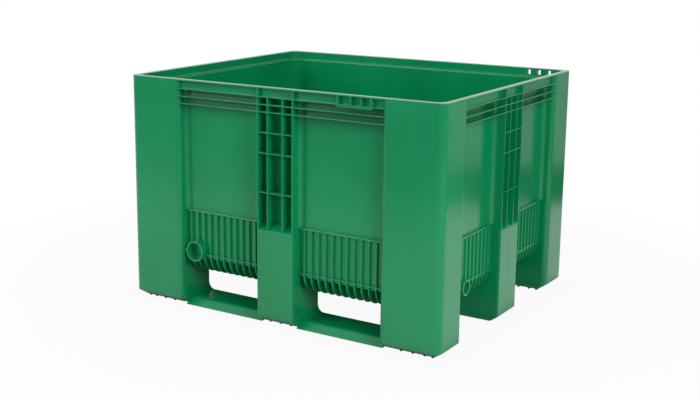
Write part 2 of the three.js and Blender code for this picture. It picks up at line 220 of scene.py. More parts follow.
class PalletBoxStage(bpy.types.PropertyGroup):
    """Where the camera stands and how bright the studio is."""

    camera_place: FloatVectorProperty(
        name="Camera place", description="Where the camera stands", subtype="TRANSLATION", size=3,
        default=(2.0517, -3.4557, 1.2764),
    )
    camera_turn: FloatProperty(
        name="Camera turn", description="Which way the camera looks, to the left of the back",
        subtype="ANGLE", default=math.radians(33.083),
    )
    camera_dip: FloatProperty(
        name="Camera dip", description="How far the camera looks down", subtype="ANGLE",
        default=math.radians(11.972),
    )
    camera_roll: FloatProperty(
        name="Camera roll", description="How far the camera leans over", subtype="ANGLE",
        default=math.radians(0.253),
    )
    focal_pixels: FloatProperty(
        name="Focal length", description="Focal length in pixels of the photograph", default=1150.44,
    )
    centre_right: FloatProperty(
        name="Centre right", description="How far right of the frame's middle the lens points, in pixels",
        default=-42.5,
    )
    centre_down: FloatProperty(
        name="Centre down", description="How far below the frame's middle the lens points, in pixels",
        default=-25.9,
    )
    room_light: FloatProperty(name="Room light", description="Strength of the even light", default=0.36)
    key_power: FloatProperty(
        name="Key power", description="Power of the main lamp", default=95.0, unit="POWER",
    )
    fill_power: FloatProperty(
        name="Fill power", description="Power of the side lamp", default=62.0, unit="POWER",
    )


@dataclass(frozen=True)
class Drain:
    """A blind tube on a lower corner of a side, closed behind by the tub's wall."""

    u: float
    z: float
    outer: float
    bore: float
    mouth: float


@dataclass(frozen=True, kw_only=True)
class Side:
    """One kind of side of the box, made twice, half a turn apart. The values given here are both kinds'."""

    turns: tuple
    reach: float
    half_span: float
    corner_post: float
    post_half: float = 0.070
    foot_depth: float
    rib_drops: tuple = (0.057, 0.0805)
    grid_drops: tuple = (0.147, 0.214, 0.343)
    grid_ribs: tuple
    ramp_foot: float = 0.320
    ramp_rise: float = 0.028
    plate_depth: float
    plate_top: float = 0.341
    plate_waist: float = 0.192
    plate_end: float
    plate_count: int
    drain: Drain

    @property
    def post_edge(self):
        return self.half_span - self.corner_post

    @property
    def ramp_top(self):
        return self.ramp_foot + self.ramp_rise

    @property
    def bay(self):
        return self.post_edge - self.post_half


LONG_SIDE = Side(
    turns=(0, 2),
    reach=WIDTH / 2,
    half_span=LENGTH / 2,
    corner_post=0.210,
    foot_depth=0.150,
    grid_ribs=(-0.029, 0.029),
    plate_depth=0.026,
    plate_end=0.135,
    plate_count=11,
    drain=Drain(u=-0.341, z=0.200, outer=0.036, bore=0.030, mouth=0.011),
)
SHORT_SIDE = Side(
    turns=(1, 3),
    reach=LENGTH / 2,
    half_span=WIDTH / 2,
    corner_post=0.150,
    foot_depth=0.210,
    grid_ribs=(-0.025, 0.025),
    plate_depth=0.030,
    plate_end=0.153,
    plate_count=9,
    drain=Drain(u=-0.287, z=0.181, outer=0.026, bore=0.0205, mouth=0.015),
)
SIDES = (LONG_SIDE, SHORT_SIDE)
CORNERS = ((-1, -1), (1, -1), (1, 1), (-1, 1))


def quarter_turn(count):
    """An exact quarter turn about Z, so that faces that line up stay lined up."""
    cos = (1, 0, -1, 0)[count]
    sin = (0, 1, 0, -1)[count]
    return Matrix(((cos, -sin, 0, 0), (sin, cos, 0, 0), (0, 0, 1, 0), (0, 0, 0, 1)))


def on_side(side, turn):
    """Where a side's drawing space lies after some quarter turns."""
    return quarter_turn(turn) @ Matrix.Translation((0, -side.reach, 0))


def faces_out(shape):
    """Turns every face of a closed shape outwards."""
    bmesh.ops.recalc_face_normals(shape, faces=shape.faces)
    if shape.calc_volume(signed=True) < 0:
        bmesh.ops.reverse_faces(shape, faces=shape.faces)
    return shape


def soften(shape, radius, steps=2):
    """Rounds the edges between faces that meet at a sharp angle."""
    sharp = [e for e in shape.edges if len(e.link_faces) == 2 and abs(e.calc_face_angle()) > SHARP]
    bmesh.ops.bevel(
        shape, geom=sharp, offset=radius, offset_type="OFFSET", segments=steps, profile=0.5,
        affect="EDGES", clamp_overlap=True, material=-1,
    )


def drawn_face(corners, place, steps):
    """A flat face through a few corners (a, b, radius), each rounded as a quarter of a circle."""
    shape = bmesh.new()
    verts = [shape.verts.new(place(a, b)) for a, b, _ in corners]
    shape.faces.new(verts)
    for vert, (_, _, radius) in zip(verts, corners):
        if radius > 0:
            bmesh.ops.bevel(
                shape, geom=[vert], offset=radius, offset_type="OFFSET", segments=steps, profile=0.5,
                affect="VERTICES", clamp_overlap=False, material=-1,
            )
    return shape


def drawn_out(shape, travel):
    """Draws the faces of a flat shape out into a closed solid."""
    moved = bmesh.ops.extrude_face_region(shape, geom=shape.faces[:])["geom"]
    verts = [item for item in moved if isinstance(item, bmesh.types.BMVert)]
    bmesh.ops.translate(shape, verts=verts, vec=travel)
    return faces_out(shape)


def profile(corners, u0, u1, steps=8, soft=0.0):
    """A profile of (v, z, radius) drawn out from u0 to u1."""
    shape = drawn_face(corners, lambda v, z: Vector((u0, v, z)), steps)
    drawn_out(shape, (u1 - u0, 0, 0))
    if soft:
        soften(shape, soft)
    return shape


def upright(corners, z0, z1, steps=8, soft=0.0):
    """A plan of (u, v, radius) raised from z0 to z1."""
    shape = drawn_face(corners, lambda u, v: Vector((u, v, z0)), steps)
    drawn_out(shape, (0, 0, z1 - z0))
    if soft:
        soften(shape, soft)
    return shape


def block(u0, u1, v0, v1, z0, z1, soft=0.0):
    """A block between two values of u, of v and of z."""
    shape = bmesh.new()
    size = Vector((u1 - u0, v1 - v0, z1 - z0))
    middle = Vector((u0 + u1, v0 + v1, z0 + z1)) / 2
    bmesh.ops.create_cube(shape, size=1.0, matrix=Matrix.Translation(middle) @ Matrix.Diagonal((*size, 1.0)))
    if soft:
        soften(shape, soft)
    return shape


def loft(rings, steps):
    """A closed solid through plan outlines. Each ring is (corners, z), and all have as many corners."""
    outlines = []
    for corners, z in rings:
        outline = drawn_face(corners, lambda x, y: Vector((x, y, z)), steps)
        outline.faces.ensure_lookup_table()
        outlines.append([vert.co.copy() for vert in outline.faces[0].verts])
        outline.free()
    corners, z = rings[0]
    shape = drawn_face(corners, lambda x, y: Vector((x, y, z)), steps)
    shape.faces.ensure_lookup_table()
    top = shape.faces[0]
    ring = list(top.verts)
    inner = []
    for outline in outlines[1:]:
        raised = bmesh.ops.extrude_face_region(shape, geom=[top])["geom"]
        inner.append(top)
        top = next(item for item in raised if isinstance(item, bmesh.types.BMFace))
        copies = {tuple(vert.co): vert for vert in top.verts}
        ring = [copies[tuple(vert.co)] for vert in ring]
        for vert, place in zip(ring, outline):
            vert.co = place
    bmesh.ops.delete(shape, geom=inner[1:], context="FACES_ONLY")
    return faces_out(shape)


def rectangle(inset, radius):
    """The corners of a plan that lies at one inset from the box's outer faces."""
    x = LENGTH / 2 - inset
    y = WIDTH / 2 - inset
    return [(-x, -y, radius), (x, -y, radius), (x, y, radius), (-x, y, radius)]


class Blank:
    """Closed shapes of one kind that don't overlap each other, gathered in one bmesh."""

    def __init__(self):
        self.shapes = bmesh.new()

    def add(self, shape, *places):
        """Adds a copy of the shape at each place, or one where it was drawn."""
        mesh = bpy.data.meshes.new("shape")
        for place in places or (Matrix.Identity(4),):
            placed = shape.copy()
            placed.transform(place)
            placed.to_mesh(mesh)
            placed.free()
            self.shapes.from_mesh(mesh)
        bpy.data.meshes.remove(mesh)
        shape.free()
        return self

    def add_on(self, side, shape, turns=None):
        """Adds the shape to each of the side's two faces, or to those of the turns given."""
        return self.add(shape, *(on_side(side, turn) for turn in turns or side.turns))

    def to_object(self, name):
        mesh = bpy.data.meshes.new(name)
        self.shapes.to_mesh(mesh)
        self.shapes.free()
        thing = bpy.data.objects.new(name, mesh)
        bpy.context.scene.collection.objects.link(thing)
        return thing

    def keep(self, name, role="add"):
        keep(self.to_object(name), role)


def combine(thing, operation, tools):
    """Joins solids to a thing or cuts them from it, and keeps the result in its mesh."""
    for tool in tools:
        step = thing.modifiers.new(tool.name, "BOOLEAN")
        step.operation = operation
        step.object = tool
        step.solver = "MANIFOLD"
    bpy.context.view_layer.update()
    evaluated = thing.evaluated_get(bpy.context.evaluated_depsgraph_get())
    mesh = bpy.data.meshes.new_from_object(evaluated)
    thing.modifiers.clear()
    thing.data = mesh
    for tool in tools:
        remove(tool)
    return thing


def remove(thing):
    mesh = thing.data
    bpy.data.objects.remove(thing)
    bpy.data.meshes.remove(mesh)


def part_store():
    """The collection that keeps the shapes which later operators join or cut."""
    store = bpy.data.collections.get(PARTS)
    if store is None:
        store = bpy.data.collections.new(PARTS)
        bpy.context.scene.collection.children.link(store)
    return store


def keep(thing, role):
    """Puts a shape by for the moulding, as an 'add' or a 'cut'."""
    thing["role"] = role
    bpy.context.scene.collection.objects.unlink(thing)
    part_store().objects.link(thing)


def levels(sizes):
    """Heights that follow from the sizes."""
    ledge = HEIGHT - sizes.band_height
    return {
        "ledge": ledge,
        "ledge_under": ledge - sizes.wall,
        "rim_under": HEIGHT - sizes.rim_wall,
        "floor_under": sizes.floor_top - sizes.floor_wall,
    }


def tub_outside(sizes):
    """The outside of the tub, the band and the rim's flange, as a full solid."""
    z = levels(sizes)
    tub = sizes.tub_depth
    radius = sizes.tub_corner + sizes.wall
    band_radius = sizes.band_corner + sizes.wall
    edge = sizes.rim_edge
    slant = edge * (1 - math.sqrt(0.5))
    hull = sizes.hull_radius
    rings = [
        (rectangle(tub + edge, radius - edge), z["floor_under"]),
        (rectangle(tub, radius), z["floor_under"] + edge),
        (rectangle(tub, radius), z["ledge_under"]),
        (rectangle(sizes.band_depth, band_radius), z["ledge_under"]),
        (rectangle(sizes.band_depth, band_radius), z["rim_under"]),
        (rectangle(slant, hull - slant), z["rim_under"]),
        (rectangle(0, hull), z["rim_under"] + slant),
        (rectangle(0, hull), HEIGHT - edge),
        (rectangle(slant, hull - slant), HEIGHT - slant),
        (rectangle(edge, hull - edge), HEIGHT),
    ]
    return loft(rings, sizes.arc_steps)


def tub_inside(sizes):
    """The space inside the tub, with its round bottom, its ledge and the rounded lip."""
    z = levels(sizes)
    depth = sizes.tub_depth + sizes.wall
    corner = sizes.tub_corner
    bottom = sizes.tub_bottom
    rings = []
    for step in range(BOTTOM_STEPS + 1):
        angle = math.radians(90 * step / BOTTOM_STEPS)
        inwards = bottom * (1 - math.sin(angle))
        up = bottom * (1 - math.cos(angle))
        rings.append((rectangle(depth + inwards, corner - inwards), sizes.floor_top + up))
    edge = 2 * sizes.rim_edge
    slant = edge * (1 - math.sqrt(0.5))
    for back, drop in ((0, edge), (slant, slant), (edge, 0)):
        rings.append((rectangle(depth - back, corner + back), z["ledge"] - drop))
    band = sizes.band_depth + sizes.wall
    corner = sizes.band_corner
    fillet = sizes.rim_edge
    rings.append((rectangle(band + fillet, corner - fillet), z["ledge"]))
    rings.append((rectangle(band, corner), z["ledge"] + fillet))
    for back, drop in ((0, edge / 2), (slant / 2, slant / 2), (edge / 2, 0), (edge / 2, HEIGHT - ABOVE)):
        rings.append((rectangle(band - back, corner + back), HEIGHT - drop))
    return loft(rings, sizes.arc_steps)


class PALLETBOX_OT_tub(bpy.types.Operator):
    """Models the tub with its floor, ledge, band and rim"""

    bl_idname = "palletbox.tub"
    bl_label = "Tub and rim"

    def execute(self, context):
        sizes = context.scene.pallet_box_sizes
        Blank().add(tub_outside(sizes)).keep("tub")
        Blank().add(tub_inside(sizes)).keep("tub_space", "cut")
        return {"FINISHED"}


def foot_slope(sizes, inset):
    """The lower end of an outer wall, in from the face: a slope up to the skirt. Points are (v, z)."""
    if not inset:
        return [(sizes.foot_chamfer, sizes.foot_clearance), (0.0, sizes.foot_skirt)]
    fall = (sizes.foot_skirt - sizes.foot_clearance) / sizes.foot_chamfer
    start = sizes.foot_chamfer + inset / 2
    return [
        (start, BELOW),
        (start, sizes.foot_clearance + inset),
        (inset, sizes.foot_skirt + inset - fall * inset),
    ]


def corner_post(sizes, sx, sy, inset):
    """A corner post as a full solid, or the space inside it at one inset from its faces."""
    top = levels(sizes)["rim_under"] + (0 if inset else sizes.rim_wall / 2)
    near_x = LONG_SIDE.post_edge + inset
    near_y = SHORT_SIDE.post_edge + inset
    full = [(v, z, max(sizes.hull_radius - v, sizes.post_radius / 3)) for v, z in foot_slope(sizes, inset)]
    last = full[-1]
    rings = []
    for v, z, radius in (*full, (last[0], top, last[2])):
        x = LENGTH / 2 - v
        y = WIDTH / 2 - v
        free = sizes.post_radius - inset
        corners = [
            (sx * x, sy * y, radius),
            (sx * near_x, sy * y, free),
            (sx * near_x, sy * near_y, sizes.panel_fillet - inset),
            (sx * x, sy * near_y, free),
        ]
        rings.append((corners, z))
    return loft(rings, sizes.arc_steps)


def middle_post(sizes, side, inset):
    """The closed lower part of a middle post: a ramp up to the tub's wall, and the foot under the floor."""
    half = side.post_half - inset
    bottom = BELOW if inset else sizes.foot_clearance
    reach = 0 if inset else LAP
    slope = [(v, z, 0) for v, z in foot_slope(sizes, inset)]
    back = sizes.tub_depth + reach
    ramp = [*slope, (inset, side.ramp_foot - inset, 0), (back, side.ramp_top - inset, 0), (back, bottom, 0)]
    under = levels(sizes)["floor_under"] + reach
    foot_back = side.foot_depth - inset
    foot = [*slope, (inset, under, 0), (foot_back, under, 0), (foot_back, bottom, 0)]
    soft = 0 if inset else sizes.post_edge
    return profile(ramp, -half, half, soft=soft), profile(foot, -half, half, soft=soft)


class PALLETBOX_OT_posts(bpy.types.Operator):
    """Models the hollow corner posts, middle posts and feet"""

    bl_idname = "palletbox.posts"
    bl_label = "Posts and feet"

    def solids(self, sizes, inset):
        """The posts and feet as full solids, or the spaces inside them."""
        corners, ramps, feet = Blank(), Blank(), Blank()
        for sx, sy in CORNERS:
            corners.add(corner_post(sizes, sx, sy, inset))
        for side in SIDES:
            ramp, foot = middle_post(sizes, side, inset)
            ramps.add_on(side, ramp)
            feet.add_on(side, foot)
        x = LONG_SIDE.post_half - inset
        y = SHORT_SIDE.post_half - inset
        bottom = BELOW if inset else sizes.foot_clearance
        top = levels(sizes)["floor_under"] + (0 if inset else LAP)
        feet.add(block(-x, x, -y, y, bottom, top, 0 if inset else sizes.post_edge))
        word = "space" if inset else "solid"
        return [blank.to_object(f"post_{word}") for blank in (corners, ramps, feet)]

    def execute(self, context):
        sizes = context.scene.pallet_box_sizes
        posts, *more = self.solids(sizes, 0)
        combine(posts, "UNION", more)
        combine(posts, "DIFFERENCE", self.solids(sizes, sizes.wall))
        keep(posts, "add")
        self.foot_ribs(sizes)
        self.cross_ribs(sizes)
        for side in SIDES:
            self.cheeks(sizes, side)
        return {"FINISHED"}

    def foot_ribs(self, sizes):
        """Ribs inside the feet that reach the floor as teeth."""
        ribs = Blank()
        half = sizes.foot_rib / 2
        top = levels(sizes)["floor_under"] + LAP
        start = sizes.foot_chamfer + sizes.wall
        soft = sizes.soft_edge
        for offset in CORNER_RIBS:
            u = LONG_SIDE.half_span - offset
            end = SHORT_SIDE.corner_post - sizes.wall + LAP
            for s in (-1, 1):
                ribs.add_on(LONG_SIDE, block(s * u - half, s * u + half, start, end, 0, top, soft))
        for u in MIDDLE_RIBS:
            for side in SIDES:
                end = side.foot_depth - sizes.wall + LAP
                ribs.add_on(side, block(u - half, u + half, start, end, 0, top, soft))
            y = SHORT_SIDE.post_half - sizes.wall + LAP
            ribs.add(block(u - half, u + half, -y, y, 0, top, soft))
        ribs.keep("foot_ribs")

    def cross_ribs(self, sizes):
        """Ribs across the others in the corner feet."""
        ribs = Blank()
        half = sizes.foot_rib / 2
        top = levels(sizes)["floor_under"] + LAP
        start = sizes.foot_chamfer + sizes.wall
        end = LONG_SIDE.corner_post - sizes.wall + LAP
        for offset in CROSS_RIBS:
            u = SHORT_SIDE.half_span - offset
            for s in (-1, 1):
                rib = block(s * u - half, s * u + half, start, end, 0, top, sizes.soft_edge)
                ribs.add_on(SHORT_SIDE, rib)
        ribs.keep("cross_ribs")

    def cheeks(self, sizes, side):
        """The feet's sides, which stand out a little and end above in a slope."""
        cheeks = Blank()
        rise = side.ramp_rise / sizes.tub_depth
        under = levels(sizes)["floor_under"]
        inner = sizes.tub_depth + LAP
        for s in (-1, 1):
            for edge, away, start in (
                (side.post_half, 1, sizes.wall),
                (side.post_edge, -1, sizes.post_radius),
            ):
                outline = [
                    (start, sizes.foot_skirt, 0),
                    (start, side.ramp_foot + rise * start, 0),
                    (inner, side.ramp_top, 0),
                    (inner, under, 0),
                    (side.foot_depth, under, 0),
                    (side.foot_depth, sizes.foot_skirt, 0),
                ]
                near = s * (edge - away * LAP)
                far = s * (edge + away * sizes.cheek)
                soft = sizes.soft_edge * CHEEK_SOFTNESS
                cheeks.add_on(side, profile(outline, min(near, far), max(near, far), soft=soft))
        cheeks.keep("cheeks")


class PALLETBOX_OT_ribs(bpy.types.Operator):
    """Models the ribs round the upper tub, the grids in the middle posts and the rim's pockets"""

    bl_idname = "palletbox.ribs"
    bl_label = "Upper ribs and grids"

    def execute(self, context):
        sizes = context.scene.pallet_box_sizes
        z = levels(sizes)
        uprights, shelves, ledges = Blank(), Blank(), Blank()
        half = sizes.rib / 2
        soft = sizes.soft_edge
        back = sizes.tub_depth + LAP
        for side in SIDES:
            foot = side.ramp_foot - LAP
            for s in (-1, 1):
                inner = s * (side.post_half - sizes.wall)
                outer = s * side.post_half
                edges = sorted((inner, outer))
                uprights.add_on(side, block(*edges, 0, back, foot, z["rim_under"] + LAP, soft))
            for u in side.grid_ribs:
                uprights.add_on(side, block(u - half, u + half, 0, back, foot, z["ledge"] - LAP, soft))
            across_post = side.post_half - LAP
            for drop in side.grid_drops:
                level = HEIGHT - drop
                shelf = block(-across_post, across_post, 0, back, level - half, level + half, soft)
                shelves.add_on(side, shelf)
            end = side.post_edge + sizes.post_radius
            for drop in side.rib_drops:
                level = HEIGHT - drop
                shelves.add_on(side, block(-end, end, 0, back, level - half, level + half, soft))
            lower, upper = z["ledge_under"], z["ledge_under"] + sizes.rib
            ledges.add_on(side, block(-end, end, 0, sizes.band_depth + LAP, lower, upper, soft))
        uprights.keep("uprights")
        shelves.keep("shelves")
        ledges.keep("ledges")
        self.pockets(sizes, z)
        self.windows(sizes, z)
        self.fillets(sizes, z)
        return {"FINISHED"}

    def pockets(self, sizes, z):
        """The ribbed pocket under the rim at one end of each long side."""
        shelf, ribs = Blank(), Blank()
        soft = sizes.soft_edge
        back = sizes.band_depth + LAP
        bottom = z["ledge_under"] - POCKET_DROP
        top = z["rim_under"] + LAP
        left = POCKET_RIBS[0][0] - POCKET_RIBS[0][1]
        right = POCKET_RIBS[-1][0] + POCKET_RIBS[-1][1]
        under = bottom - sizes.rib / 2
        shelf.add_on(LONG_SIDE, block(left, right, 0, back, under, z["ledge_under"] + LAP, soft))
        for u, half in POCKET_RIBS:
            ribs.add_on(LONG_SIDE, block(u - half, u + half, 0, back, bottom, top, soft))
        shelf.keep("pocket_shelves")
        ribs.keep("pocket_ribs")

    def windows(self, sizes, z):
        """Three windows through the back rim by one corner, in a thicker stretch of the band."""
        thick, holes = Blank(), Blank()
        half = WINDOW_WIDTH / 2
        under, top = z["ledge_under"], z["rim_under"]
        last = FIRST_WINDOW + (WINDOW_COUNT - 1) * WINDOW_PITCH
        left, right = -last - WINDOW_WIDTH, WINDOW_WIDTH - FIRST_WINDOW
        back = sizes.band_depth + LAP
        stretch = block(left, right, sizes.wall - LAP, back, under, top + LAP)
        thick.add_on(LONG_SIDE, stretch, turns=(2,))
        for count in range(WINDOW_COUNT):
            u = -FIRST_WINDOW - count * WINDOW_PITCH
            bottom = top - LAP - WINDOW_HEIGHT
            hole = block(u - half, u + half, -LAP, back + sizes.wall, bottom, top - LAP)
            holes.add_on(LONG_SIDE, hole, turns=(2,))
        thick.keep("window_frame")
        holes.keep("windows", "cut")

    def fillets(self, sizes, z):
        """Round inside corners where the panels meet the posts."""
        fillets = Blank()
        radius = sizes.panel_fillet
        depth = sizes.tub_depth
        for side in SIDES:
            for s in (-1, 1):
                for edge, away in ((side.post_half, 1), (side.post_edge, -1)):
                    u = s * edge
                    step = s * away
                    corners = [
                        (u - step * LAP, depth - radius, 0),
                        (u, depth - radius, 0),
                        (u, depth, radius),
                        (u + step * radius, depth, 0),
                        (u + step * radius, depth + LAP, 0),
                        (u - step * LAP, depth + LAP, 0),
                    ]
                    bottom = side.plate_top - LAP
                    fillets.add_on(side, upright(corners, bottom, z["ledge_under"] + LAP, sizes.arc_steps))
        fillets.keep("fillets")


class PALLETBOX_OT_plates(bpy.types.Operator):
    """Models the stiffening plates round the lower tub and the ribs under its floor"""

    bl_idname = "palletbox.plates"
    bl_label = "Lower plates"

    def execute(self, context):
        sizes = context.scene.pallet_box_sizes
        under = levels(sizes)["floor_under"] + LAP
        inner = sizes.tub_depth + LAP
        half = sizes.rib / 2
        soft = sizes.soft_edge
        plates, walls, top_ribs, waists, ends = Blank(), Blank(), Blank(), Blank(), Blank()
        for side in SIDES:
            front = side.plate_depth
            top = side.plate_top - sizes.rib
            outline = [
                (inner, top, 0),
                (front, top, 0),
                (front, sizes.plate_bottom, sizes.plate_curl),
                (side.plate_end, sizes.plate_bottom, 0),
                (side.plate_end, under, 0),
                (inner, under, 0),
            ]
            pitch = side.bay / (side.plate_count + 1)
            for s in (-1, 1):
                for count in range(side.plate_count):
                    u = s * (side.post_half + (count + 1) * pitch)
                    plates.add_on(side, profile(outline, u - half, u + half, sizes.arc_steps, soft))
                span = sorted((s * (side.post_half - LAP), s * (side.post_edge + LAP)))
                wall = sizes.tub_depth - sizes.lower_wall
                walls.add_on(side, block(*span, wall, inner, under - LAP, top + LAP))
                top_ribs.add_on(side, block(*span, front, inner, top - LAP / 2, side.plate_top, soft))
                waist = side.plate_waist
                waists.add_on(side, block(*span, front, inner, waist - sizes.rib, waist, soft))
                end = side.plate_end
                bottom = sizes.plate_bottom
                ends.add_on(side, block(*span, end - sizes.rib, end + LAP / 2, bottom, under, soft))
        named = {
            "plates": plates,
            "lower_walls": walls,
            "plate_tops": top_ribs,
            "waists": waists,
            "plate_ends": ends,
        }
        for name, blank in named.items():
            blank.keep(name)
        self.floor_ribs(sizes, under, half)
        return {"FINISHED"}

    def floor_ribs(self, sizes, under, half):
        """Coarser ribs under the middle of the floor, both ways between the feet."""
        bottom = COARSE_BOTTOM
        soft = sizes.soft_edge
        reach_x = LENGTH / 2 - SHORT_SIDE.plate_end
        reach_y = WIDTH / 2 - LONG_SIDE.plate_end
        x = LONG_SIDE.post_half + COARSE_PITCH
        y = SHORT_SIDE.post_half + COARSE_PITCH
        along_y, along_x = Blank(), Blank()
        for s in (-1, 1):
            along_y.add(block(s * x - half, s * x + half, -reach_y, reach_y, bottom, under, soft))
            along_x.add(block(-reach_x, reach_x, s * y - half, s * y + half, bottom, under, soft))
        along_y.keep("floor_ribs_y")
        along_x.keep("floor_ribs_x")


class PALLETBOX_OT_drains(bpy.types.Operator):
    """Models the blind drain tubes, each with a rib to the post beside it"""

    bl_idname = "palletbox.drains"
    bl_label = "Drain tubes"

    def tube(self, radius, v0, v1, u, z, soft=0.0):
        shape = bmesh.new()
        lie_down = Matrix.Translation((u, (v0 + v1) / 2, z)) @ Matrix.Rotation(math.radians(90), 4, "X")
        bmesh.ops.create_cone(
            shape, cap_ends=True, segments=DRAIN_STEPS, radius1=radius, radius2=radius, depth=v1 - v0,
            matrix=lie_down,
        )
        if soft:
            soften(shape, soft)
        return shape

    def execute(self, context):
        sizes = context.scene.pallet_box_sizes
        tubes, bores, ribs = Blank(), Blank(), Blank()
        wall = sizes.tub_depth + sizes.wall / 2
        for side in SIDES:
            drain = side.drain
            tubes.add_on(side, self.tube(drain.outer, drain.mouth, wall, drain.u, drain.z, sizes.soft_edge))
            bores.add_on(side, self.tube(drain.bore, -LAP, sizes.tub_depth, drain.u, drain.z))
            post, rim = -side.post_edge - LAP, drain.u - drain.bore - LAP
            low, high = drain.z - sizes.rib / 2, drain.z + sizes.rib / 2
            ribs.add_on(side, block(post, rim, drain.mouth + sizes.rib, wall, low, high, sizes.soft_edge))
        tubes.keep("drain_tubes")
        ribs.keep("drain_ribs")
        bores.keep("drain_bores", "cut")
        return {"FINISHED"}


class PALLETBOX_OT_runners(bpy.types.Operator):
    """Models the hollow runners between the feet, with their ribs and round ends"""

    bl_idname = "palletbox.runners"
    bl_label = "Runners"

    def bar(self, sizes, near, far, far_slope, inset):
        """A runner's section, or that of the space inside it at one inset from its faces."""
        top = sizes.runner_height - inset
        side = inset * HOLLOW_SIDE
        slope = sizes.runner_slope + inset * HOLLOW_SLOPE
        far_slope = far_slope + inset * HOLLOW_SLOPE
        bottom = BELOW if inset else 0.0
        round_over = 0 if inset else RUNNER_ROUND
        far_round = round_over if far_slope > LAP else 0
        points = [(near + side, bottom, 0)]
        if inset:
            points.append((near + side, 0.0, 0))
        points += [(near + slope, top, round_over), (far - far_slope, top, far_round)]
        if inset:
            points.append((far - side, 0.0, 0))
        points.append((far - side, bottom, 0))
        return points

    def execute(self, context):
        sizes = context.scene.pallet_box_sizes
        bars, spaces, ribs, fillets = Blank(), Blank(), Blank(), Blank()
        middle = SHORT_SIDE.post_half + sizes.cheek
        rows = (
            (LONG_SIDE.turns, sizes.runner_inset, LONG_SIDE.foot_depth, 0.0),
            ((0,), LONG_SIDE.reach - middle, LONG_SIDE.reach + middle, sizes.runner_slope),
        )
        side = LONG_SIDE
        for turns, near, far, far_slope in rows:
            for s in (-1, 1):
                u0, u1 = sorted((s * (side.post_half - LAP), s * (side.post_edge + LAP)))
                outline = self.bar(sizes, near, far, far_slope, 0)
                bars.add_on(side, profile(outline, u0, u1, RUNNER_STEPS), turns)
                hollow = self.bar(sizes, near, far, far_slope, sizes.wall)
                wall = sizes.wall + LAP
                spaces.add_on(side, profile(hollow, u0 + wall, u1 - wall), turns)
                u = u0 + COARSE_PITCH
                half = sizes.rib / 2
                start, end = near + sizes.runner_slope, far - sizes.wall
                rib = block(u - half, u + half, start, end, 0, sizes.runner_height - LAP)
                ribs.add_on(side, rib, turns)
                for foot, away in ((u0 + LAP, 1), (u1 - LAP, -1)):
                    fillets.add_on(side, self.fillet(sizes, near, far - far_slope, foot, away), turns)
        bars = bars.to_object("runners")
        combine(bars, "DIFFERENCE", [spaces.to_object("runner_spaces")])
        keep(bars, "add")
        ribs.keep("runner_ribs")
        fillets.keep("runner_fillets")
        return {"FINISHED"}

    def fillet(self, sizes, near, far, foot, away):
        """A round inside corner between a foot's side and the top of a runner."""
        top = sizes.runner_height
        radius = sizes.runner_fillet
        start = foot + away * sizes.cheek
        end = start + away * radius
        corners = [
            (foot - away * LAP, top - LAP, 0),
            (end, top - LAP, 0),
            (end, top, 0),
            (start, top, radius),
            (start, top + radius, 0),
            (foot - away * LAP, top + radius, 0),
        ]
        v0 = near + sizes.runner_slope
        shape = drawn_face(corners, lambda u, z: Vector((u, v0, z)), sizes.arc_steps)
        return drawn_out(shape, (0, far - v0, 0))


class PALLETBOX_OT_moulding(bpy.types.Operator):
    """Joins everything into one moulding, cuts its hollows and gives it its plastic"""

    bl_idname = "palletbox.moulding"
    bl_label = "Moulding"

    def execute(self, context):
        store = part_store()
        solids = [thing for thing in store.objects if thing["role"] == "add"]
        cuts = [thing for thing in store.objects if thing["role"] == "cut"]
        box, *rest = solids
        combine(box, "UNION", rest)
        combine(box, "DIFFERENCE", cuts)
        store.objects.unlink(box)
        context.scene.collection.objects.link(box)
        bpy.data.collections.remove(store)
        self.finish(context, box)
        return {"FINISHED"}

    def finish(self, context, box):
        box.name = "pallet_box_moulding"
        shape = bmesh.new()
        shape.from_mesh(box.data)
        bmesh.ops.remove_doubles(shape, verts=shape.verts, dist=1e-6)
        bmesh.ops.dissolve_degenerate(shape, edges=shape.edges, dist=1e-6)
        shape.to_mesh(box.data)
        shape.free()
        box.data.materials.clear()
        box.data.materials.append(green_plastic(context.scene.pallet_box_finish))
        box.data.shade_smooth()
        box.data.set_sharp_from_angle(angle=SHARP)
        even = box.modifiers.new("Even shading", "WEIGHTED_NORMAL")
        even.keep_sharp = True
        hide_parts(NODE)
        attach(box, BODY)


class Value:
    """A number in a material, so that shader maths reads as an expression."""

    def __init__(self, graph, socket):
        self.graph = graph
        self.socket = socket

    def maths(self, operation, first, second):
        return self.graph.node("ShaderNodeMath", {"operation": operation}, {0: first, 1: second})

    def __add__(self, other):
        return self.maths("ADD", self, other)

    def __sub__(self, other):
        return self.maths("SUBTRACT", self, other)

    def __rsub__(self, other):
        return self.maths("SUBTRACT", other, self)

    def __mul__(self, other):
        return self.maths("MULTIPLY", self, other)

    __radd__ = __add__
    __rmul__ = __mul__


